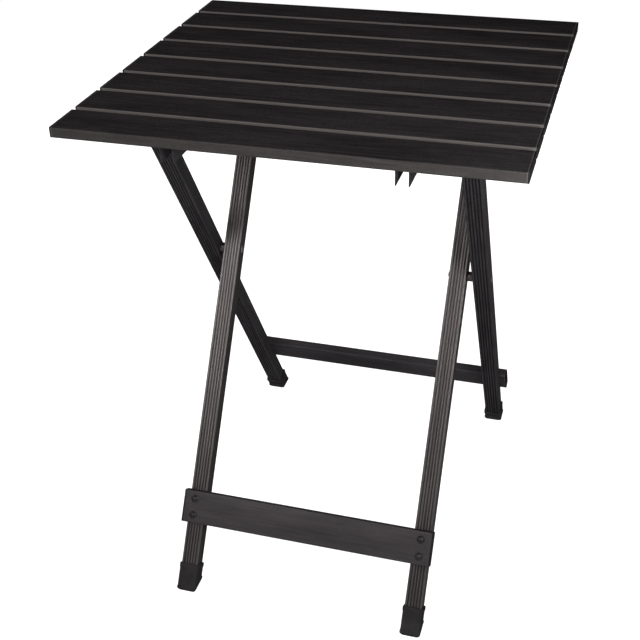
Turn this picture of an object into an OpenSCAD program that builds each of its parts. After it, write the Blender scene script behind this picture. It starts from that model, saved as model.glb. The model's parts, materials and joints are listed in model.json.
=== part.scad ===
// Folding picnic table with a slatted top on a scissor leg frame.
// +X runs along the slats, +Y to the back, +Z up. The origin lies on the floor
// midway between the front and rear feet. All lengths are in millimetres.

/* [Table top] */
// Length of the slats, left to right
table_w = 570; // [560:1:640]
// Depth of the top, front to back
table_d = 543; // [536:1:580]
// Height of the top surface above the floor
table_h = 720; // [716:1:726]
// Thickness of a slat
slat_t = 13.5; // [12:0.5:16]
// Space between two slats
slat_gap = 8; // [5:0.5:12]

/* [Leg frames] */
// Width of a leg tube, seen from the front
leg_w = 25; // [22:0.5:26]
// Thickness of a leg tube, front to back
leg_t = 22; // [20:0.5:22]
// Distance of the outer legs from the middle plane
outer_x = 204; // [203:0.5:210]
// Distance of the inner legs from the middle plane
inner_x = 170; // [169:0.5:172]
// Lean of the outer legs from the vertical, in degrees
outer_lean = 31.5; // [31:0.1:32]
// Lean of the inner legs from the vertical, in degrees
inner_lean = 32.9; // [32.5:0.1:33.3]
// Height of the scissor pivot above the floor
pivot_z = 429; // [426:1:432]

/* [Stretchers] */
// Height of a stretcher
stretch_h = 48; // [40:1:52]
// Thickness of a stretcher
stretch_t = 14; // [12:0.5:16]

/* [Feet] */
// Height of a foot cap along its leg
foot_h = 36; // [30:1:42]

/* [Hidden] */
$fn = 48;
slats = 8;
wall = 1.5;
slat_wall = 1.3;
fit = 0.05;
gap = 0.3;
loose = 0.1;
shift_y = 4.4;
pivot_y = 7;
arm = 306;
cap_t = 2;
slat_w = (table_d - (slats - 1) * slat_gap) / slats;
slat_pitch = slat_w + slat_gap;
slat_l = table_w - 2 * cap_t;
slat_r = 1.6;
slat_webs = [-slat_w / 6, slat_w / 6];
under_z = table_h - slat_t;
hinge_y = pivot_y - arm * sin(outer_lean);
hinge_z = pivot_z + arm * cos(outer_lean);
catch_y = pivot_y + arm * sin(inner_lean);
catch_z = pivot_z + arm * cos(inner_lean);
outer_low = pivot_z / cos(outer_lean);
inner_low = pivot_z / cos(inner_lean);

// Rails
rail_x = 142.7;
rail_w = 17.5;
rail_depth = 25.3;
rail_inset = 16.3;
rail_front = shift_y - table_d / 2 + rail_inset;
rail_rear = shift_y + table_d / 2 - rail_inset;
rail_land = 15;

// Rods and pivots
rod_r = 4;
hinge_bore = rod_r + fit;
seat_r = rod_r + gap;
rod_nut_r = 7.5;
rod_nut_t = 4;
sleeve_r = 6;
collar_r = 7;
pin_r = 3;
pin_head_r = 6;
pin_head_h = 2.2;
spacer_r = 7;

// Leg tubes
leg_r = 1.2;
leg_top = arm + 8.2;
plug_in = 3;
grooves = 5;
groove_w = 1.9;
groove_d = 1;
groove_pitch = leg_w / (grooves + 1);
foot_skin = 2.3;
foot_pad = 6;
foot_lip = 0.8;
leg_end = 14;

// Stretchers
front_drop = 364;
rear_drop = 354;
front_half = 187;
rear_half = 227;
rivet_r = 6;
rivet_h = 2.8;
shank_r = 2.4;
shank_hole = shank_r + loose;
rivet_rise = 12;
slat_rivet_r = 4;
slat_rivet_h = 1.6;
slat_rivet_y = 15;
slat_rivet_in = 3.2;
big = 900;

// Colours
c_top = [0.12, 0.115, 0.115];
c_leg = [0.30, 0.285, 0.28];
c_dark = [0.13, 0.13, 0.14];
c_steel = [0.55, 0.55, 0.56];
c_rubber = [0.10, 0.10, 0.10];

// Rectangle with rounded corners, centred
module round_rect(w, h, r) {
    square([w - 2 * r, h], center = true);
    square([w, h - 2 * r], center = true);
    for (sx = [-1, 1]) for (sy = [-1, 1]) translate([sx * (w / 2 - r), sy * (h / 2 - r)]) circle(r);
}

// Low dome of radius r and height h standing on z = 0
module dome(r, h) {
    ball = (r * r + h * h) / (2 * h);
    intersection() {
        translate([0, 0, h - ball]) sphere(ball);
        cylinder(r = r + 1, h = h + 1);
    }
}

// Cylinder along +X from x = 0
module rod_x(r, l) {
    rotate([0, 90, 0]) cylinder(r = r, h = l);
}

// Leg frames: local Z along the leg, local -Y its front face, pivot at the origin
module outer_place() {
    translate([0, pivot_y, pivot_z]) rotate([outer_lean, 0, 0]) children();
}

module inner_place() {
    translate([0, pivot_y, pivot_z]) rotate([-inner_lean, 0, 0]) children();
}

// ---- Table top ----

function slat_y(i) = shift_y - table_d / 2 + slat_w / 2 + i * slat_pitch;

module slat_section() {
    inner_w = slat_w - 2 * slat_wall;
    inner_h = slat_t - 2 * slat_wall;
    difference() {
        round_rect(slat_w, slat_t, slat_r);
        difference() {
            square([inner_w, inner_h], center = true);
            for (wy = slat_webs) translate([wy, 0]) square([slat_wall, inner_h], center = true);
        }
    }
}

// Places a child at each rivet of slat i, on the underside
module slat_rivet_places(i) {
    for (sx = [-1, 1]) for (dy = [-slat_rivet_y, slat_rivet_y])
        translate([sx * rail_x, slat_y(i) + dy, under_z]) children();
}

module slat(i) {
    color(c_top) difference() {
        translate([-slat_l / 2, slat_y(i), table_h - slat_t / 2])
            rotate([90, 0, 90]) linear_extrude(slat_l) slat_section();
        slat_rivet_places(i) translate([0, 0, -1]) cylinder(r = shank_hole, h = slat_wall + 2);
    }
}

// Moulded end cap of slat i, side = -1 left or 1 right
module slat_cap(i, side) {
    bay_y = slat_w / 3 - slat_wall / 4;
    plug_w = slat_w / 3 - 1.5 * slat_wall - 2 * loose;
    plug_h = slat_t - 2 * slat_wall - 2 * loose;
    color(c_rubber) translate([side * slat_l / 2, slat_y(i), table_h - slat_t / 2]) {
        rotate([90, 0, side * 90]) linear_extrude(cap_t) round_rect(slat_w, slat_t, slat_r);
        for (k = [-1, 0, 1])
            translate([-side * plug_in, k * bay_y, 0]) cube([2 * plug_in, plug_w, plug_h], center = true);
    }
}

// Side outline of a rail flange: deep round the hinge rod, cut back over the
// travel of the catch rod, deep again behind the seat
module flange_outline() {
    slope = (catch_z - hinge_z) / (catch_y - hinge_y);
    land_y = hinge_y + rail_land;
    land_z = hinge_z + slope * rail_land + seat_r;
    low_z = under_z - rail_depth;
    polygon([
        [rail_front, under_z], [rail_front, low_z], [land_y, low_z], [land_y, land_z],
        [catch_y, catch_z + seat_r], [catch_y + seat_r, catch_z], [catch_y + seat_r, low_z],
        [rail_rear, low_z], [rail_rear, under_z]
    ]);
}

module rail(side) {
    color(c_dark) difference() {
        union() {
            translate([side * rail_x - rail_w / 2, rail_front, under_z - wall])
                cube([rail_w, rail_rear - rail_front, wall]);
            for (sx = [-1, 1])
                translate([side * rail_x + sx * (rail_w - wall) / 2 - wall / 2, 0, 0])
                    rotate([90, 0, 90]) linear_extrude(wall) flange_outline();
        }
        translate([side * rail_x - rail_w, hinge_y, hinge_z]) rod_x(hinge_bore, 2 * rail_w);
        translate([side * rail_x - rail_w, catch_y, catch_z]) rod_x(seat_r, 2 * rail_w);
        for (i = [0:slats - 1])
            slat_rivet_places(i) translate([0, 0, -wall - 1]) cylinder(r = shank_hole, h = wall + 2);
    }
}

// Blind rivets that fix the slats to one rail, as separate solids
module slat_rivets(side) {
    color(c_steel) for (i = [0:slats - 1]) for (dy = [-slat_rivet_y, slat_rivet_y])
        translate([side * rail_x, slat_y(i) + dy, under_z - wall]) {
            rotate([180, 0, 0]) dome(slat_rivet_r, slat_rivet_h);
            cylinder(r = shank_r, h = wall + slat_rivet_in);
        }
}

// ---- Legs ----

module leg_section() {
    difference() {
        round_rect(leg_w, leg_t, leg_r);
        square([leg_w - 2 * wall, leg_t - 2 * wall - 2 * groove_d], center = true);
        for (k = [1:grooves]) for (sy = [-1, 1])
            translate([k * groove_pitch - leg_w / 2, sy * leg_t / 2])
                square([groove_w, 2 * groove_d], center = true);
    }
}

// Leg tube from the foot end up to the top, low = distance of the floor below the pivot
module leg_tube(low, pivot_bore, rod_bore) {
    start = leg_end - low;
    difference() {
        translate([0, 0, start]) linear_extrude(leg_top - start) leg_section();
        translate([-leg_w, 0, 0]) rod_x(pivot_bore, 2 * leg_w);
        translate([-leg_w, 0, arm]) rod_x(rod_bore, 2 * leg_w);
    }
}

// Rivet centres of a stretcher on one leg, in the leg's local Y-Z
module rivet_places(half, drop) {
    for (s = [-1, 1]) translate([half, 0, -drop - stretch_h / 2 + s * rivet_rise]) children();
}

module outer_leg(side) {
    color(c_dark) outer_place() difference() {
        translate([side * outer_x, 0, 0]) leg_tube(outer_low, pin_r + loose, hinge_bore);
        rivet_places(side * outer_x, rear_drop)
            rotate([-90, 0, 0]) translate([0, 0, leg_t / 4]) cylinder(r = shank_hole, h = leg_t);
    }
}

module inner_leg(side) {
    color(c_leg) inner_place() difference() {
        translate([side * inner_x, 0, 0]) leg_tube(inner_low, pin_r + fit, rod_r + loose);
        rivet_places(side * inner_x, front_drop)
            rotate([90, 0, 0]) translate([0, 0, leg_t / 4]) cylinder(r = shank_hole, h = leg_t);
    }
}

// Closing plug in the top end of a leg
module leg_plug() {
    in_w = leg_w - 2 * wall - 2 * loose;
    in_t = leg_t - 2 * wall - 2 * groove_d - 2 * loose;
    translate([0, 0, leg_top]) linear_extrude(cap_t) round_rect(leg_w, leg_t, leg_r);
    translate([-in_w / 2, -in_t / 2, leg_top - plug_in]) cube([in_w, in_t, plug_in + cap_t / 2]);
}

// Foot cap: a sleeve round the leg end with an upright pad cut level with the floor
module foot_cap(x, lean, low) {
    out_w = leg_w + 2 * foot_skin;
    out_t = leg_t + 2 * foot_skin;
    pad_y = pivot_y + sign(lean) * (pivot_z - foot_pad) * tan(abs(lean));
    color(c_rubber) {
        difference() {
            translate([0, pivot_y, pivot_z]) rotate([lean, 0, 0]) difference() {
                translate([x, 0, -low - leg_t]) linear_extrude(foot_h + leg_t) round_rect(out_w, out_t, 2);
                translate([x, 0, leg_end - low]) linear_extrude(foot_h) round_rect(leg_w, leg_t, leg_r);
            }
            translate([-big / 2, -big / 2, foot_pad - 1 - big]) cube(big);
        }
        translate([x, pad_y, 0]) linear_extrude(foot_pad)
            round_rect(out_w + foot_lip, out_t / cos(lean) + foot_lip, 2);
    }
}

// ---- Rods and pivots ----

// Domed push nut on a rod end, side = -1 left or 1 right
module push_nut(side, x) {
    translate([side * x, 0, 0]) rotate([0, side * 90, 0]) difference() {
        union() {
            cylinder(r = rod_nut_r, h = 1.2);
            translate([0, 0, 1.2]) dome(rod_nut_r - 1.5, rod_nut_t - 1.2);
        }
        translate([0, 0, -1]) cylinder(r = rod_r, h = 3);
    }
}

outer_face = outer_x + leg_w / 2;
inner_out = inner_x + leg_w / 2;
inner_in = inner_x - leg_w / 2;

module hinge_rod() {
    half = outer_face + gap + 2;
    color(c_steel) translate([-half, hinge_y, hinge_z]) rod_x(rod_r, 2 * half);
}

module hinge_nuts() {
    color(c_steel) translate([0, hinge_y, hinge_z]) for (s = [-1, 1]) push_nut(s, outer_face + gap);
}

// Sleeve that keeps a rail and an outer leg apart on the hinge rod
module hinge_sleeve(side) {
    from = rail_x + rail_w / 2 + gap;
    to = outer_x - leg_w / 2 - gap;
    color(c_dark) translate([side * (from + to) / 2 - (to - from) / 2, hinge_y, hinge_z])
        difference() {
            rod_x(sleeve_r, to - from);
            translate([-1, 0, 0]) rod_x(rod_r, to - from + 2);
        }
}

module catch_rod() {
    half = inner_out + 2;
    color(c_steel) translate([-half, catch_y, catch_z]) rod_x(rod_r, 2 * half);
}

module catch_nuts() {
    color(c_steel) translate([0, catch_y, catch_z]) for (s = [-1, 1]) push_nut(s, inner_out);
}

// Collar that guides a rail on the catch rod
module catch_collar(side) {
    from = rail_x + rail_w / 2 + gap;
    to = inner_in;
    color(c_rubber) translate([side * (from + to) / 2 - (to - from) / 2, catch_y, catch_z])
        difference() {
            rod_x(collar_r, to - from);
            translate([-1, 0, 0]) rod_x(rod_r, to - from + 2);
        }
}

// Shouldered rivet through an outer and an inner leg, with a head at each end
module pivot_pin(side) {
    from = inner_in - gap;
    color(c_steel) translate([0, pivot_y, pivot_z]) {
        translate([side > 0 ? from : -outer_face, 0, 0]) rod_x(pin_r, outer_face - from);
        translate([side * outer_face, 0, 0]) rotate([0, side * 90, 0]) dome(pin_head_r, pin_head_h);
        translate([side * from, 0, 0]) rotate([0, -side * 90, 0]) dome(pin_head_r, pin_head_h);
    }
}

// Spacer between the two legs on the scissor pivot
module pivot_spacer(side) {
    from = inner_out + gap;
    to = outer_x - leg_w / 2;
    color(c_rubber) translate([side * (from + to) / 2 - (to - from) / 2, pivot_y, pivot_z])
        difference() {
            rod_x(spacer_r, to - from);
            translate([-1, 0, 0]) rod_x(pin_r, to - from + 2);
        }
}

// ---- Stretchers ----

module stretch_section() {
    difference() {
        round_rect(stretch_t, stretch_h, 1.5);
        square([stretch_t - 2 * wall, stretch_h - 2 * wall], center = true);
    }
}

// Flat tube across the legs, y = middle of its thickness in the leg frame
module stretcher(half, drop, x, y) {
    tube_l = half - cap_t;
    difference() {
        translate([-tube_l, y, -drop - stretch_h / 2])
            rotate([90, 0, 90]) linear_extrude(2 * tube_l) stretch_section();
        for (s = [-1, 1]) rivet_places(s * x, drop)
            translate([0, y + stretch_t, 0]) rotate([90, 0, 0]) cylinder(r = shank_hole, h = 2 * stretch_t);
    }
}

module stretch_plug(side, half, drop, y) {
    in_t = stretch_t - 2 * wall - 2 * loose;
    in_h = stretch_h - 2 * wall - 2 * loose;
    translate([side * (half - cap_t), y, -drop - stretch_h / 2]) {
        rotate([90, 0, side * 90]) linear_extrude(cap_t) round_rect(stretch_t, stretch_h, 1.5);
        translate([-side * plug_in, 0, 0]) cube([2 * plug_in, in_t, in_h], center = true);
    }
}

// Rivets of a stretcher on both legs; dir = -1 heads to the front, 1 to the back
module stretch_rivets(x, drop, dir) {
    face = leg_t / 2 + stretch_t;
    for (s = [-1, 1]) rivet_places(s * x, drop)
        rotate([-dir * 90, 0, 0]) {
            translate([0, 0, face]) dome(rivet_r, rivet_h);
            translate([0, 0, leg_t / 2 - 5]) cylinder(r = shank_r, h = stretch_t + 5);
        }
}

stretch_y = (leg_t + stretch_t) / 2;

module front_stretcher() {
    color(c_leg) inner_place() stretcher(front_half, front_drop, inner_x, -stretch_y);
}

module rear_stretcher() {
    color(c_dark) outer_place() stretcher(rear_half, rear_drop, outer_x, stretch_y);
}

module front_plug(side) {
    color(c_rubber) inner_place() stretch_plug(side, front_half, front_drop, -stretch_y);
}

module rear_plug(side) {
    color(c_rubber) outer_place() stretch_plug(side, rear_half, rear_drop, stretch_y);
}

module front_rivets() {
    color(c_steel) inner_place() stretch_rivets(inner_x, front_drop, -1);
}

module rear_rivets() {
    color(c_steel) outer_place() stretch_rivets(outer_x, rear_drop, 1);
}

module outer_plug(side) {
    color(c_rubber) outer_place() translate([side * outer_x, 0, 0]) leg_plug();
}

module inner_plug(side) {
    color(c_rubber) inner_place() translate([side * inner_x, 0, 0]) leg_plug();
}

slat(0);  // slat_1
slat(1);  // slat_2
slat(2);  // slat_3
slat(3);  // slat_4
slat(4);  // slat_5
slat(5);  // slat_6
slat(6);  // slat_7
slat(7);  // slat_8
slat_cap(0, -1);  // slat_cap_l_1
slat_cap(1, -1);  // slat_cap_l_2
slat_cap(2, -1);  // slat_cap_l_3
slat_cap(3, -1);  // slat_cap_l_4
slat_cap(4, -1);  // slat_cap_l_5
slat_cap(5, -1);  // slat_cap_l_6
slat_cap(6, -1);  // slat_cap_l_7
slat_cap(7, -1);  // slat_cap_l_8
slat_cap(0, 1);  // slat_cap_r_1
slat_cap(1, 1);  // slat_cap_r_2
slat_cap(2, 1);  // slat_cap_r_3
slat_cap(3, 1);  // slat_cap_r_4
slat_cap(4, 1);  // slat_cap_r_5
slat_cap(5, 1);  // slat_cap_r_6
slat_cap(6, 1);  // slat_cap_r_7
slat_cap(7, 1);  // slat_cap_r_8
rail(-1);  // rail_l
rail(1);  // rail_r
slat_rivets(-1);  // slat_rivets_l
slat_rivets(1);  // slat_rivets_r
outer_leg(-1);  // outer_leg_l
outer_leg(1);  // outer_leg_r
outer_plug(-1);  // outer_plug_l
outer_plug(1);  // outer_plug_r
foot_cap(-outer_x, outer_lean, outer_low);  // outer_foot_l
foot_cap(outer_x, outer_lean, outer_low);  // outer_foot_r
inner_leg(-1);  // inner_leg_l
inner_leg(1);  // inner_leg_r
inner_plug(-1);  // inner_plug_l
inner_plug(1);  // inner_plug_r
foot_cap(-inner_x, -inner_lean, inner_low);  // inner_foot_l
foot_cap(inner_x, -inner_lean, inner_low);  // inner_foot_r
rear_stretcher();
rear_plug(-1);  // rear_plug_l
rear_plug(1);  // rear_plug_r
rear_rivets();
front_stretcher();
front_plug(-1);  // front_plug_l
front_plug(1);  // front_plug_r
front_rivets();
hinge_rod();
hinge_sleeve(-1);  // hinge_sleeve_l
hinge_sleeve(1);  // hinge_sleeve_r
hinge_nuts();
catch_rod();
catch_collar(-1);  // catch_collar_l
catch_collar(1);  // catch_collar_r
catch_nuts();
pivot_pin(-1);  // pivot_pin_l
pivot_pin(1);  // pivot_pin_r
pivot_spacer(-1);  // pivot_spacer_l
pivot_spacer(1);  // pivot_spacer_r
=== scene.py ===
import json
import math

import bmesh
import bpy
from mathutils import Matrix, Vector


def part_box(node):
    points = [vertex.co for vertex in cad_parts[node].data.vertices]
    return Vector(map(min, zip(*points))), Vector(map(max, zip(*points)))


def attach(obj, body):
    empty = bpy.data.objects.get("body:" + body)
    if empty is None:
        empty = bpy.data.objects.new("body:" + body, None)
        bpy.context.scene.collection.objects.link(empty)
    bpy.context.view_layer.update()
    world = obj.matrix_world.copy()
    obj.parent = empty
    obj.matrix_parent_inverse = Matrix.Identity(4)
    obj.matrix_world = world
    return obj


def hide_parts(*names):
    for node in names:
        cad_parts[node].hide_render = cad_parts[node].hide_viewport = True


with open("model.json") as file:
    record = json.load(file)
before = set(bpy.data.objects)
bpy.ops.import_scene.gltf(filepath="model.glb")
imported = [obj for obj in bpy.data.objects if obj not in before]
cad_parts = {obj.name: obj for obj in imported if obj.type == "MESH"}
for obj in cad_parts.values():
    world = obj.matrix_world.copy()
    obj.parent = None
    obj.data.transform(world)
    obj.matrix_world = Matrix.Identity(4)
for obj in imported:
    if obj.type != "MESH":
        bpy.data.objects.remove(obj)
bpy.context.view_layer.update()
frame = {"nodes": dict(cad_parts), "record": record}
NODES = frame["nodes"]
PARTS = {p["node"]: p for p in frame["record"]["subparts"]}
BODY_OF = {n: b for b, names in frame["record"]["behaviour"]["bodies"].items() for n in names}
MM = 0.001
SLAT_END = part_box("slat_1")[1].x
SIDES = (("l", -1), ("r", 1))
X_AXIS, Y_AXIS, Z_AXIS = 0, 1, 2

# Sizes of the CAD part, repeated here or worked out from its own. PIVOT and the grooves are
# in metres, the rest in millimetres.
PIVOT = Vector((0, 7, 429)) * MM
GROOVE_W, GROOVE_PITCH = 1.9 * MM, 25 / 6 * MM
LEG_W, LEG_T = 25, 22
LEG_X = {"outer": 204, "inner": 170}
OUTER_LEAN, INNER_LEAN = math.radians(31.5), math.radians(-32.9)
LEG_LEAN = {"outer": OUTER_LEAN, "inner": INNER_LEAN}
FOOT_H, FOOT_SKIN, LEG_END = 36, 2.3, 14
STRETCH_T = 14
RIVET_ROW = {"inner": -388, "outer": -378}
RIVET_RISE = 12
RIVET_R, RIVET_H = 6.0, 2.8
BLIND_RIVET_R, BLIND_RIVET_H = 4.0, 1.6
SLAT_RIVET_X, SLAT_RIVET_DY, SLAT_RIVET_Z = 142.7, 15, 705
PIN_ENDS = (157.2, 216.5)
NUT_X = (("hinge", 216.8), ("catch", 182.5))

# Only in the visual model: the blind rivets' dimple (millimetres), and how far from the
# middle (metres) the slats' walls stop facing a gap
BLIND_DIMPLE = 1.3
BEYOND_GAPS = 250 * MM

# ---------------------------------------------------------------- camera

CAM_AT = Vector((0.3915, -1.3776, 1.2207))
CAM_RIGHT = Vector((0.95908, 0.28210, -0.02439))
CAM_BACK = Vector((0.25216, -0.81174, 0.52677))
FOCAL_PX, IMAGE_PX = 1121.98, 640
SENSOR_MM = 36


def add_camera():
    back = CAM_BACK.normalized()
    right = (CAM_RIGHT - back * CAM_RIGHT.dot(back)).normalized()
    up = back.cross(right)
    cam = bpy.data.cameras.new("camera")
    cam.sensor_width = SENSOR_MM
    cam.lens = FOCAL_PX / IMAGE_PX * SENSOR_MM
    obj = bpy.data.objects.new("camera", cam)
    bpy.context.scene.collection.objects.link(obj)
    m = Matrix((right, up, back)).transposed().to_4x4()
    m.translation = CAM_AT
    obj.matrix_world = m
    bpy.context.scene.camera = obj


# ---------------------------------------------------------------- materials


class Shader:
    """Small helper that builds a Principled material from nodes."""

    def __init__(self, name):
        self.mat = bpy.data.materials.new(name)
        self.mat.use_nodes = True
        self.t = self.mat.node_tree
        self.t.nodes.clear()
        self.out = self.node("ShaderNodeOutputMaterial")
        self.b = self.node("ShaderNodeBsdfPrincipled")
        self.link(self.b.outputs[0], self.out.inputs[0])
        self.coord = self.node("ShaderNodeTexCoord")

    def node(self, kind):
        return self.t.nodes.new(kind)

    def link(self, a, b):
        self.t.links.new(a, b)

    def mapped(self, scale, rot=(0, 0, 0)):
        m = self.node("ShaderNodeMapping")
        m.inputs["Scale"].default_value = scale
        m.inputs["Rotation"].default_value = rot
        self.link(self.coord.outputs["Object"], m.inputs["Vector"])
        return m.outputs["Vector"]

    def turned(self, scale, rot):
        """Object coordinates turned first and then scaled, so the grain follows a leaning part."""
        first = self.mapped((1, 1, 1), rot)
        m = self.node("ShaderNodeMapping")
        m.inputs["Scale"].default_value = scale
        self.link(first, m.inputs["Vector"])
        return m.outputs["Vector"]

    def noise(self, vector, scale, detail=4.0, rough=0.55):
        n = self.node("ShaderNodeTexNoise")
        n.inputs["Scale"].default_value = scale
        n.inputs["Detail"].default_value = detail
        n.inputs["Roughness"].default_value = rough
        self.link(vector, n.inputs["Vector"])
        return n.outputs["Fac"]

    def ramp(self, fac, stops):
        r = self.node("ShaderNodeValToRGB")
        el = r.color_ramp.elements
        while len(el) < len(stops):
            el.new(0.5)
        for e, (pos, col) in zip(el, stops):
            e.position = pos
            e.color = (*col, 1)
        self.link(fac, r.inputs["Fac"])
        return r.outputs["Color"]

    def mix(self, fac, a, b, blend="MIX"):
        """Mix of two colours; each is a socket or an RGB tuple."""
        m = self.node("ShaderNodeMix")
        m.data_type = "RGBA"
        m.blend_type = blend
        for sock, v in ((m.inputs[0], fac), (m.inputs[6], a), (m.inputs[7], b)):
            if isinstance(v, tuple):
                sock.default_value = (*v, 1)
            elif isinstance(v, float):
                sock.default_value = v
            else:
                self.link(v, sock)
        return m.outputs[2]

    def span(self, fac, lo, hi, start=0.0, stop=1.0):
        """Maps start..stop of a value to lo..hi, clamped."""
        r = self.node("ShaderNodeMapRange")
        ends = {"From Min": start, "From Max": stop, "To Min": lo, "To Max": hi}
        for name, value in ends.items():
            r.inputs[name].default_value = value
        self.link(fac, r.inputs["Value"])
        return r.outputs["Result"]

    def math(self, operation, *values):
        """One arithmetic step; each value is a socket or a float."""
        m = self.node("ShaderNodeMath")
        m.operation = operation
        for sock, v in zip(m.inputs, values):
            if isinstance(v, float):
                sock.default_value = v
            else:
                self.link(v, sock)
        return m.outputs[0]

    def times(self, a, b):
        return self.math("MULTIPLY", a, b)

    def bump(self, height, strength, distance, normal=None):
        b = self.node("ShaderNodeBump")
        b.inputs["Strength"].default_value = strength
        b.inputs["Distance"].default_value = distance
        self.link(height, b.inputs["Height"])
        if normal is not None:
            self.link(normal, b.inputs["Normal"])
        return b.outputs["Normal"]

    def edges(self, radius):
        """1 on edges and corners, 0 on flat faces: the rounded normal against the true one."""
        bevel = self.node("ShaderNodeBevel")
        bevel.samples = 6
        bevel.inputs["Radius"].default_value = radius
        geo = self.node("ShaderNodeNewGeometry")
        dot = self.node("ShaderNodeVectorMath")
        dot.operation = "DOT_PRODUCT"
        self.link(bevel.outputs["Normal"], dot.inputs[0])
        self.link(geo.outputs["Normal"], dot.inputs[1])
        return self.span(dot.outputs["Value"], 1.0, 0.0, 0.80, 0.985)

    def place(self, axis):
        """One of the object coordinates."""
        parts = self.node("ShaderNodeSeparateXYZ")
        self.link(self.coord.outputs["Object"], parts.inputs[0])
        return parts.outputs[axis]

    def grooves(self, centre):
        """1 over the grooves of a leg whose middle is this far from the table's middle; this is
        where painted shade darkens the grooves.
        """
        off = self.math("SUBTRACT", self.math("ABSOLUTE", self.place("X")), centre)
        inside = self.span(
            self.math("ABSOLUTE", off), 1.0, 0.0, 2.6 * GROOVE_PITCH, 2.7 * GROOVE_PITCH)
        near = self.math("PINGPONG", off, GROOVE_PITCH / 2)
        half = GROOVE_W / 2
        return self.times(self.span(near, 1.0, 0.0, half - 0.05 * MM, half + 0.1 * MM), inside)

    def gap_walls(self):
        """1 on walls that face front or back, 0.2 on the outer walls of the end slats; these walls
        get a paler colour that is partly bare metal and partly painted light.
        """
        parts = self.node("ShaderNodeSeparateXYZ")
        self.link(self.coord.outputs["Normal"], parts.inputs[0])
        facing = self.span(self.math("ABSOLUTE", parts.outputs["Y"]), 0.0, 1.0, 0.5, 0.8)
        inside = self.span(
            self.math("ABSOLUTE", self.place("Y")), 1.0, 0.2, BEYOND_GAPS, BEYOND_GAPS + 5 * MM)
        return self.times(facing, inside)

    def sawn_ends(self):
        """0.8 on the last millimetre before a slat's sawn ends, 0 elsewhere."""
        return self.span(
            self.math("ABSOLUTE", self.place("X")),
            0.0, 0.8, SLAT_END - 1.3 * MM, SLAT_END - 0.9 * MM)


def tint(v, warm=0.0, cool=0.0):
    """Grey of reflectance v with a little more red (warm) or blue (cool)."""
    return (v * (1 + warm), v, v * (1 + cool))


# Keeps the white floor's reflection off surfaces seen at a flat angle
GRAZE_TINT = (0.06, 0.06, 0.06, 1)


def coated_metal(
        name, base, tone, rough, metal, axis, lean=0.0, mottle=0.3, edge=2.0, edge_at=0.0009,
        brush=1.0, groove_shade=None, lips=0.0):
    """Coated aluminium, brushed along one axis, mottled and specked, with paler edges that are
    partly rubbed wear and partly a painted highlight.

    groove_shade is (how much painted shade darkens the grooves, distance of the leg's middle from
    the table's), and lips is the paler colour painted on the walls that face the gaps between the
    slats: partly bare metal, partly painted light.
    """
    s = Shader(name)
    turn = (-lean, 0, 0)
    fine, broad = [330, 330, 330], [24, 24, 24]
    fine[axis], broad[axis] = 16, 6
    grain = s.noise(s.turned(tuple(fine), turn), 1.0, 5, 0.62)
    cloud = s.noise(s.turned(tuple(broad), turn), 1.0, 6, 0.62)
    speck = s.noise(s.mapped((1, 1, 1)), 1100, 2, 0.5)
    fleck = s.noise(s.mapped((1, 1, 1)), 380, 3, 0.6)
    dark, pale = tint(base * (1 - mottle), *tone), tint(base * (1 + mottle), *tone)
    col = s.ramp(cloud, [(0.30, dark), (0.70, pale)])
    col = s.mix(s.span(grain, 0.0, 0.75 * brush, 0.42, 0.68), col, tint(base * 1.8, *tone))
    col = s.mix(s.span(fleck, 0.0, 0.6 * brush, 0.48, 0.70), col, tint(base * 0.45, *tone))
    # Paler edges and rib ridges: partly rubbed wear, partly a painted highlight along the arrises.
    rim = s.times(s.edges(edge_at), s.span(speck, 0.55, 1.0, 0.3, 0.7))
    col = s.mix(rim, col, tint(base * edge, *tone))
    if groove_shade:
        depth, centre = groove_shade
        # Painted shade: the groove bottoms are darkened as if in shade.
        col = s.mix(s.times(s.grooves(centre), depth), col, tint(base * 0.25, *tone))
    if lips:
        # Paler walls facing the gaps, and the sawn ends, in one colour: partly bare metal, partly
        # painted light.
        bare_and_lit = tint(lips, 0.10, -0.04)
        col = s.mix(s.gap_walls(), col, bare_and_lit)
        col = s.mix(s.sawn_ends(), col, bare_and_lit)
    s.link(col, s.b.inputs["Base Color"])
    s.link(s.span(cloud, rough - 0.06, rough + 0.08, 0.3, 0.7), s.b.inputs["Roughness"])
    s.b.inputs["Metallic"].default_value = metal
    s.b.inputs["Specular IOR Level"].default_value = 0.0
    s.b.inputs["Specular Tint"].default_value = GRAZE_TINT
    n = s.bump(speck, 0.14, 0.0002)
    s.link(s.bump(grain, 0.16, 0.0003, n), s.b.inputs["Normal"])
    return s.mat


def moulded(name, base, rough, edge=1.7, edge_at=0.0007):
    """Moulded plastic or rubber with an eroded grain and paler edges, partly rubbed wear and partly
    a painted highlight.
    """
    s = Shader(name)
    fine = s.noise(s.mapped((1, 1, 1)), 1500, 3, 0.6)
    broad = s.noise(s.mapped((1, 1, 1)), 45, 5, 0.65)
    col = s.ramp(broad, [(0.3, tint(base * 0.75, 0.08, 0.05)), (0.7, tint(base * 1.3, 0.08, 0.05))])
    # Paler edges: partly rubbed wear, partly a painted highlight.
    col = s.mix(s.times(s.edges(edge_at), 0.8), col, tint(base * edge, 0.08, 0.05))
    s.link(col, s.b.inputs["Base Color"])
    s.link(s.span(broad, rough - 0.07, rough + 0.1, 0.3, 0.7), s.b.inputs["Roughness"])
    s.b.inputs["Metallic"].default_value = 0.1
    s.b.inputs["Specular IOR Level"].default_value = 0.0
    s.b.inputs["Specular Tint"].default_value = GRAZE_TINT
    s.link(s.bump(fine, 0.3, 0.0002), s.b.inputs["Normal"])
    return s.mat


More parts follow.
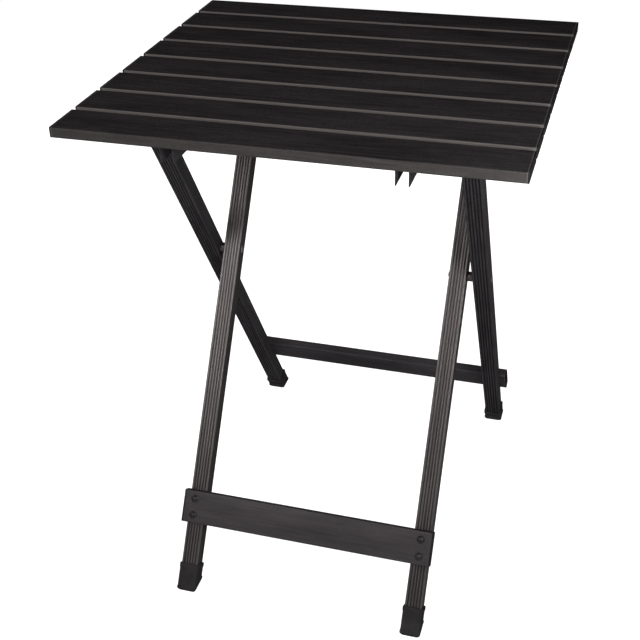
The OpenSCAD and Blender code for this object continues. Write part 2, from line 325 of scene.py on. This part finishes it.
def plated_steel(name, base, rough):
    """Drawn and zinc-plated steel: turned lines, cloudy plating."""
    s = Shader(name)
    turn = s.noise(s.mapped((3, 900, 900)), 1.0, 3, 0.6)
    broad = s.noise(s.mapped((1, 1, 1)), 70, 5, 0.65)
    s.b.inputs["Metallic"].default_value = 1.0
    col = s.ramp(broad, [(0.3, tint(base * 0.8, 0.03)), (0.7, tint(base * 1.15, 0.0, 0.03))])
    s.link(col, s.b.inputs["Base Color"])
    s.link(s.span(turn, rough - 0.08, rough + 0.12, 0.3, 0.7), s.b.inputs["Roughness"])
    s.link(s.bump(turn, 0.2, 0.0002), s.b.inputs["Normal"])
    return s.mat


WARM, NEUTRAL = (0.10, 0.03), (0.08, 0.07)
# The slats' strong paler edges are partly rubbed wear and partly a painted highlight on the
# arrises.
TOP = coated_metal(
    "top_coat", 0.0150, WARM, 0.50, 0.3, X_AXIS, mottle=0.40,
    edge=3.4, edge_at=0.0012, lips=0.056)
RAIL = coated_metal("rail_coat", 0.0190, NEUTRAL, 0.45, 0.3, Y_AXIS)
# One black coat: INNER and FRONT_BAR, on the parts that lean to face the lamps, are painted paler
# and glossier than OUTER, REAR_BAR and RAIL, as painted light.
OUTER = coated_metal(
    "outer_leg_coat", 0.0195, NEUTRAL, 0.42, 0.3, Z_AXIS, OUTER_LEAN,
    edge=1.6, edge_at=0.0005, groove_shade=(0.65, LEG_X["outer"] * MM))
INNER = coated_metal(
    "inner_leg_coat_painted_lit", 0.0440, (0.12, 0.0), 0.38, 0.75, Z_AXIS, INNER_LEAN, mottle=0.18,
    brush=0.6, edge=1.6, edge_at=0.0005, groove_shade=(0.75, LEG_X["inner"] * MM))
FRONT_BAR = coated_metal(
    "front_bar_coat_painted_lit", 0.0260, WARM, 0.40, 0.5, X_AXIS, INNER_LEAN, mottle=0.15, brush=0.4)
# The rear stretcher's strong paler edges: rubbed wear and a painted highlight along its top edge.
REAR_BAR = coated_metal(
    "rear_bar_coat", 0.0220, NEUTRAL, 0.42, 0.3, X_AXIS, OUTER_LEAN,
    brush=0.5, edge=5.0, edge_at=0.0025)
# The caps' strong paler edges: painted highlight lines round the slat ends.
CAP = moulded("cap_plastic", 0.009, 0.5, edge=5.0, edge_at=0.0013)
FOOT = moulded("foot_rubber", 0.0140, 0.55)
RIVET = coated_metal("rivet_coat", 0.019, WARM, 0.42, 0.7, X_AXIS, brush=0.3)
PIN = coated_metal("pin_coat", 0.075, WARM, 0.36, 0.7, X_AXIS, mottle=0.2, brush=0.3)
STEEL = plated_steel("rod_steel", 0.20, 0.34)
SLEEVE = moulded("sleeve_plastic", 0.016, 0.5)

BY_SLOT = {
    "slat_top": TOP, "leg_metal": INNER, "dark_metal": OUTER, "end_cap": CAP,
    "foot": FOOT, "rivet": RIVET, "steel": STEEL, "sleeve": SLEEVE,
}
BY_NODE = {
    "rail_l": RAIL, "rail_r": RAIL, "front_stretcher": FRONT_BAR, "rear_stretcher": REAR_BAR,
    "pivot_spacer_l": INNER, "pivot_spacer_r": INNER, "pivot_pin_l": PIN, "pivot_pin_r": PIN,
}


# ---------------------------------------------------------------- mesh tools


def adopt(node, bm, label="skin"):
    """Turn a finished bmesh into the visible piece that stands for a CAD node."""
    bmesh.ops.recalc_face_normals(bm, faces=bm.faces)
    mesh = bpy.data.meshes.new(f"{node}_{label}")
    bm.to_mesh(mesh)
    bm.free()
    mesh.polygons.foreach_set("use_smooth", [True] * len(mesh.polygons))
    mesh.set_sharp_from_angle(angle=math.radians(38))
    obj = bpy.data.objects.new(f"{node}_{label}", mesh)
    bpy.context.scene.collection.objects.link(obj)
    slot = PARTS[node]["material_slot"]
    mesh.materials.append(BY_NODE.get(node, BY_SLOT[slot]))
    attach(obj, BODY_OF[node])
    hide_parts(node)
    return obj


def soften(node, width, pick=None, segments=2):
    """Copy of a CAD node with its sharp edges rounded, or only those that pick(edge) names."""
    bm = bmesh.new()
    bm.from_mesh(NODES[node].data)
    bmesh.ops.remove_doubles(bm, verts=bm.verts, dist=1e-6)
    bmesh.ops.dissolve_limit(bm, angle_limit=math.radians(0.5), verts=bm.verts, edges=bm.edges)
    sharp = [
        e for e in bm.edges
        if len(e.link_faces) == 2 and e.calc_face_angle(0) > math.radians(30)]
    bmesh.ops.bevel(
        bm, geom=[e for e in sharp if pick is None or pick(e)], offset=width, offset_type="OFFSET",
        segments=segments, profile=0.6, affect="EDGES", clamp_overlap=False)
    return adopt(node, bm)


def long_edges(least):
    """Picks edges at least this long, so that hole rims and arcs stay as they are."""
    return lambda e: e.calc_length() > least


def end_outline(node, place=Matrix.Identity(4)):
    """Picks the outer outline at both ends of a tube that runs along X."""
    back = place.inverted()
    pts = [back @ v.co for v in NODES[node].data.vertices]
    lo = [min(p[k] for p in pts) for k in range(3)]
    hi = [max(p[k] for p in pts) for k in range(3)]
    skin = 0.7 * MM

    def on_outline(v):
        p = back @ v.co
        at_end = min(p.x - lo[0], hi[0] - p.x) < 1e-5
        rim = min(p.y - lo[1], hi[1] - p.y, p.z - lo[2], hi[2] - p.z)
        return at_end and rim < skin

    return lambda e: all(on_outline(v) for v in e.verts)


def rounded_rect(w, h, r, n=5):
    """Outline of a rounded rectangle as (u, v) pairs, anticlockwise."""
    pts = []
    for cu, cv, start in ((1, 1, 0), (-1, 1, 90), (-1, -1, 180), (1, -1, 270)):
        for k in range(n + 1):
            a = math.radians(start + 90 * k / n)
            pts.append((cu * (w / 2 - r) + r * math.cos(a), cv * (h / 2 - r) + r * math.sin(a)))
    return pts


def loft(bm, rings):
    """Closed skin through rings of points of equal count, with both ends filled."""
    loops = [[bm.verts.new(p) for p in ring] for ring in rings]
    for a, b in zip(loops, loops[1:]):
        for i in range(len(a)):
            j = (i + 1) % len(a)
            bm.faces.new((a[i], a[j], b[j], b[i]))
    bm.faces.new(list(reversed(loops[0])))
    bm.faces.new(loops[-1])


def lathe(bm, profile, place, steps=40):
    """Turned solid about the local Z axis from (radius, height) pairs; radius 0 closes an end."""
    rings = []
    for r, z in profile:
        if r == 0:
            rings.append([bm.verts.new(place @ Vector((0, 0, z)))])
            continue
        rings.append([
            bm.verts.new(place @ Vector((r * math.cos(t), r * math.sin(t), z)))
            for t in (2 * math.pi * k / steps for k in range(steps))])
    for a, b in zip(rings, rings[1:]):
        for i in range(steps):
            j = (i + 1) % steps
            if len(a) == 1:
                bm.faces.new((a[0], b[i], b[j]))
            elif len(b) == 1:
                bm.faces.new((a[i], a[j], b[0]))
            else:
                bm.faces.new((a[i], a[j], b[j], b[i]))


def dome_profile(r, h, steps=8):
    """(radius, height) pairs of a low dome from its rim to its centre."""
    ball = (r * r + h * h) / (2 * h)
    half = math.asin(r / ball)
    out = []
    for k in range(steps + 1):
        a = half * (1 - k / steps)
        out.append((0 if k == steps else ball * math.sin(a), h - ball + ball * math.cos(a)))
    return out


# ---------------------------------------------------------------- frames of the legs


def leg_frame(lean):
    """Frame of a leg: origin at the pivot, Z along the leg."""
    return Matrix.Translation(PIVOT) @ Matrix.Rotation(lean, 4, "X")


# ---------------------------------------------------------------- foot caps


def foot_cap(which, tag, side):
    """Moulded cap: rolled collar, slightly narrowing sleeve, upright pad with chamfered sole."""
    lean = LEG_LEAN[which]
    low = PIVOT.z / MM / math.cos(lean)
    place = leg_frame(lean)
    x = side * LEG_X[which]
    toe = 1 if lean > 0 else -1

    def sleeve(up, skin, r):
        """Ring round the leg, up = distance above the leg's floor point."""
        pts = rounded_rect(LEG_W + 2 * skin, LEG_T + 2 * skin, r)
        return [place @ (Vector((x + u, v, up - low)) * MM) for u, v in pts]

    pad_w = LEG_W + 2 * FOOT_SKIN + 0.6
    pad_t = (LEG_T + 2 * FOOT_SKIN) / math.cos(lean) + 0.6
    pad_y = PIVOT.y / MM + toe * (PIVOT.z / MM - 6) * math.tan(abs(lean))

    def pad(z, side_in, toe_in, heel_in, r):
        """Level ring of the pad, drawn in by some amount at its sides, toe and heel."""
        toe_y = pad_y + toe * (pad_t / 2 - toe_in)
        heel_y = pad_y - toe * (pad_t / 2 - heel_in)
        depth, mid = abs(toe_y - heel_y), (toe_y + heel_y) / 2
        pts = rounded_rect(pad_w - 2 * side_in, depth, r)
        return [Vector((x + u, mid + v, z)) * MM for u, v in pts]

    bm = bmesh.new()
    rings = [
        sleeve(LEG_END + 1, -0.05, 1.2), sleeve(FOOT_H - 0.9, -0.05, 1.2),
        sleeve(FOOT_H - 0.3, 0.25, 1.3), sleeve(FOOT_H, 0.9, 1.6), sleeve(FOOT_H, 1.5, 1.8),
        sleeve(FOOT_H - 0.5, FOOT_SKIN - 0.15, 2.1), sleeve(FOOT_H - 1.2, FOOT_SKIN, 2.3),
        sleeve(FOOT_H - 5.5, FOOT_SKIN, 2.3),
        sleeve(FOOT_H - 6.3, FOOT_SKIN - 0.2, 2.2), sleeve(FOOT_H - 6.9, FOOT_SKIN - 0.6, 2.0),
    ]
    # the sleeve runs straight down to the ring where its walls meet the pad's plane
    meet = []
    axis = place.to_3x3() @ Vector((0, 0, -1))
    for p in rings[-1]:
        drop = (p.z - 6.6 * MM) / -axis.z
        meet.append(p + axis * drop)
    rings += [
        meet, pad(6.2, 0.45, 0.4, 0.2, 2.4), pad(5.6, 0.1, 0.1, 0.0, 2.6),
        pad(3.4, 0.35, 0.2, 0.6, 2.8), pad(0.5, 2.0, 1.3, 3.4, 3.2), pad(0.0, 2.6, 1.8, 4.0, 3.4)]
    # sole: a shallow recess inside a rim
    rings += [pad(0.0, 4.4, 3.6, 6.0, 2.6), pad(0.9, 4.9, 4.1, 6.5, 2.4)]
    loft(bm, rings)
    adopt(f"{which}_foot_{tag}", bm)


# ---------------------------------------------------------------- turned fasteners


def rivet_head(r, h, sink=0.3, dimple=0.0):
    """Head of a rivet: thin flange, dome, and a dimple when it is a blind rivet."""
    rim = 0.16 * h
    prof = [(0, -sink), (r - 0.25, -sink), (r - 0.05, 0.0), (r, rim * 0.5), (r - 0.12, rim)]
    dome = dome_profile(r - 0.55, h - rim)
    for pr, pz in dome:
        z = rim + pz
        if dimple and pr < dimple:
            z -= 0.35 * math.cos(math.pi / 2 * pr / dimple) * h / 2
        prof.append((pr, z))
    return [(pr * MM, pz * MM) for pr, pz in prof]


def stretcher_rivets(node, which, facing):
    """Four domed rivets on a stretcher; facing is -1 for the front face, 1 for the back."""
    bm = bmesh.new()
    frame_m = leg_frame(LEG_LEAN[which])
    turn = Matrix.Rotation(math.radians(-90 * facing), 4, "X")
    face = facing * (LEG_T / 2 + STRETCH_T)
    for _, side in SIDES:
        for rise in (-RIVET_RISE, RIVET_RISE):
            at = Vector((side * LEG_X[which], face, RIVET_ROW[which] + rise)) * MM
            lathe(bm, rivet_head(RIVET_R, RIVET_H), frame_m @ Matrix.Translation(at) @ turn)
    adopt(node, bm)


def slat_rivets(tag, side):
    """Blind rivets under a rail, two for each slat."""
    bm = bmesh.new()
    down = Matrix.Rotation(math.pi, 4, "X")
    for k in range(1, 9):
        lo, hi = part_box(f"slat_{k}")
        mid = (lo.y + hi.y) / 2
        for dy in (-SLAT_RIVET_DY, SLAT_RIVET_DY):
            at = Vector((side * SLAT_RIVET_X * MM, mid + dy * MM, SLAT_RIVET_Z * MM))
            head = rivet_head(BLIND_RIVET_R, BLIND_RIVET_H, dimple=BLIND_DIMPLE)
            lathe(bm, head, Matrix.Translation(at) @ down, 28)
    adopt(f"slat_rivets_{tag}", bm)


def rod_nuts(node, x, y, z):
    """Push-on cap nuts: pressed flange, step, crowned cap."""
    bm = bmesh.new()
    for _, side in SIDES:
        turn = Matrix.Rotation(side * math.pi / 2, 4, "Y")
        place = Matrix.Translation(Vector((side * x, y, z)) * MM) @ turn
        prof = [
            (0, 0.1), (6.9, 0.0), (7.35, 0.15), (7.5, 0.5), (7.35, 0.95), (6.9, 1.2),
            (6.25, 1.25), (6.0, 1.45), (5.95, 1.7)]
        prof += [(r, 1.7 + h) for r, h in dome_profile(5.8, 2.3)]
        lathe(bm, [(r * MM, h * MM) for r, h in prof], place, 44)
    adopt(node, bm)


def pivot_pin(tag, side):
    """Shouldered rivet through both legs with a flanged dome at each end."""
    bm = bmesh.new()
    inner, outer = PIN_ENDS
    place = Matrix.Translation(PIVOT) @ Matrix.Rotation(side * math.pi / 2, 4, "Y")
    near = [(r, inner - 0.35 - h) for r, h in reversed(dome_profile(5.5, 1.85))]
    near += [(5.9, inner - 0.3), (6.0, inner - 0.15), (5.9, inner)]
    far = [(5.9, outer), (6.0, outer + 0.15), (5.9, outer + 0.3)]
    far += [(r, outer + 0.35 + h) for r, h in dome_profile(5.5, 1.85)]
    prof = near + [(3.0, inner + 0.05), (3.0, outer - 0.05)] + far
    lathe(bm, [(r * MM, h * MM) for r, h in prof], place, 40)
    adopt(f"pivot_pin_{tag}", bm)


# ---------------------------------------------------------------- build

for number in range(1, 9):
    soften(f"slat_{number}", 0.35 * MM, end_outline(f"slat_{number}"))
    for tag, _ in SIDES:
        soften(f"slat_cap_{tag}_{number}", 0.45 * MM)
for tag, side in SIDES:
    soften(f"rail_{tag}", 0.3 * MM, long_edges(2 * MM))
    for which in ("outer", "inner"):
        soften(f"{which}_leg_{tag}", 0.3 * MM, long_edges(8 * MM))
        soften(f"{which}_plug_{tag}", 0.45 * MM)
        foot_cap(which, tag, side)
    soften(f"front_plug_{tag}", 0.45 * MM)
    soften(f"rear_plug_{tag}", 0.45 * MM)
    for name in ("hinge_sleeve", "catch_collar", "pivot_spacer"):
        soften(f"{name}_{tag}", 0.45 * MM)
    slat_rivets(tag, side)
    pivot_pin(tag, side)
soften("front_stretcher", 0.35 * MM, end_outline("front_stretcher", leg_frame(INNER_LEAN)))
soften("rear_stretcher", 0.35 * MM, end_outline("rear_stretcher", leg_frame(OUTER_LEAN)))
for name in ("hinge_rod", "catch_rod"):
    soften(name, 0.6 * MM)
stretcher_rivets("front_rivets", "inner", -1)
stretcher_rivets("rear_rivets", "outer", 1)
for rod, x in NUT_X:
    lo, hi = (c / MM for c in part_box(f"{rod}_rod"))
    rod_nuts(f"{rod}_nuts", x, (lo.y + hi.y) / 2, (lo.z + hi.z) / 2)


# ---------------------------------------------------------------- stage


def add_floor():
    mesh = bpy.data.meshes.new("floor")
    corners = [(x * FLOOR_HALF, y * FLOOR_HALF, 0) for x, y in ((-1, -1), (1, -1), (1, 1), (-1, 1))]
    mesh.from_pydata(corners, [], [(0, 1, 2, 3)])
    floor = bpy.data.objects.new("floor", mesh)
    bpy.context.scene.collection.objects.link(floor)
    s = Shader("floor")
    s.b.inputs["Base Color"].default_value = (0.3, 0.3, 0.3, 1)
    s.b.inputs["Roughness"].default_value = 0.9
    s.b.inputs["Specular IOR Level"].default_value = 0.0
    s.b.inputs["Emission Color"].default_value = (1, 1, 1, 1)
    s.b.inputs["Emission Strength"].default_value = FLOOR_GLOW
    mesh.materials.append(s.mat)


def add_area(name, at, target, size, watts, size_y=None):
    """Rectangular light at one point, aimed at another."""
    light = bpy.data.lights.new(name, "AREA")
    light.shape = "RECTANGLE"
    light.size = size
    light.size_y = size_y or size
    light.energy = watts
    obj = bpy.data.objects.new(name, light)
    bpy.context.scene.collection.objects.link(obj)
    m = (Vector(target) - Vector(at)).to_track_quat("-Z", "Y").to_matrix().to_4x4()
    m.translation = Vector(at)
    obj.matrix_world = m


def add_world(strength):
    world = bpy.data.worlds.new("studio")
    world.use_nodes = True
    bg = world.node_tree.nodes["Background"]
    bg.inputs["Color"].default_value = (1, 1, 1, 1)
    bg.inputs["Strength"].default_value = strength
    bpy.context.scene.world = world


FLOOR_HALF = 9
FLOOR_GLOW = 0.93
WORLD = 0.15
# name, place, target, width, watts and, for the strip, height
LIGHTS = (
    ("key", (0.72, -0.78, 1.05), (0.2, -0.25, 0.70), 0.4, 12),
    ("edge", (0.60, -0.60, 0.74), (0.25, -0.28, 0.71), 0.15, 3.0),
    ("strip", (-1.0, -1.75, 1.65), (0, 0, 0.45), 1.2, 43, 0.7),
    ("sky", (0.0, 0.1, 2.4), (0.0, 0.1, 0.7), 1.6, 8),
    ("front", (0.9, -2.0, 1.1), (0, 0, 0.3), 0.8, 9),
    ("back", (-0.3, 2.2, 0.6), (0, 0, 0.3), 1.0, 45),
    ("left", (-2.2, 0.2, 0.6), (0, 0, 0.3), 1.0, 30),
)
bpy.context.scene.view_settings.view_transform = "Standard"
add_camera()
add_floor()
add_world(WORLD)
for light in LIGHTS:
    add_area(*light)
